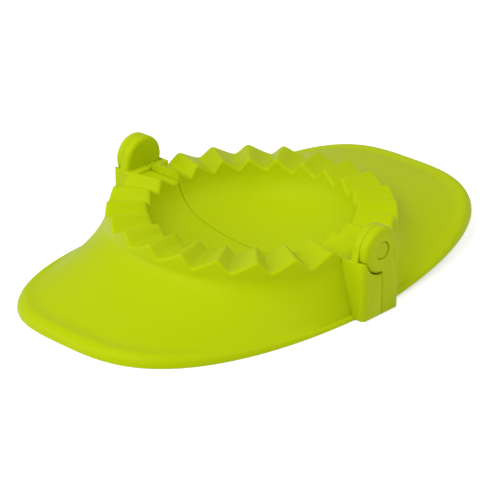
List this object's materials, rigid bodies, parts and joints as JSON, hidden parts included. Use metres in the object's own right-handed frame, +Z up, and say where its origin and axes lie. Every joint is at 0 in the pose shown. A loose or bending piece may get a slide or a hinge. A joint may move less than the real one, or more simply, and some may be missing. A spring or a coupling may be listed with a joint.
{
  "type": "hinged dough press",
  "caption": "Hand press that folds and crimps filled dough turnovers: two hinged half bowls with a toothed ring, hollow skirts and flared wings to grip, lying open.",
  "frame": {"origin": "on the table, under the middle of the toothed ring", "axes": "+X along the hinge axis, +Y towards the rear wing, +Z up, with the press open and flat"},
  "size_m": [0.119, 0.1766, 0.0314],
  "materials": {
    "front_moulding": "satin moulded polypropylene",
    "rear_moulding": "satin moulded polypropylene",
    "pin": "satin moulded polypropylene"
  },
  "bodies": {
    "front": {"front_half": "front_moulding", "hinge_pin_right": "pin", "hinge_pin_left": "pin"},
    "rear": {"rear_half": "rear_moulding"}
  },
  "joints": [
    {"name": "press_hinge", "type": "hinge", "parent": "front", "child": "rear", "pos_m": [0, 0, 0.0233], "axis": [1, 0, 0], "range_deg": [0, 180]}
  ]
}
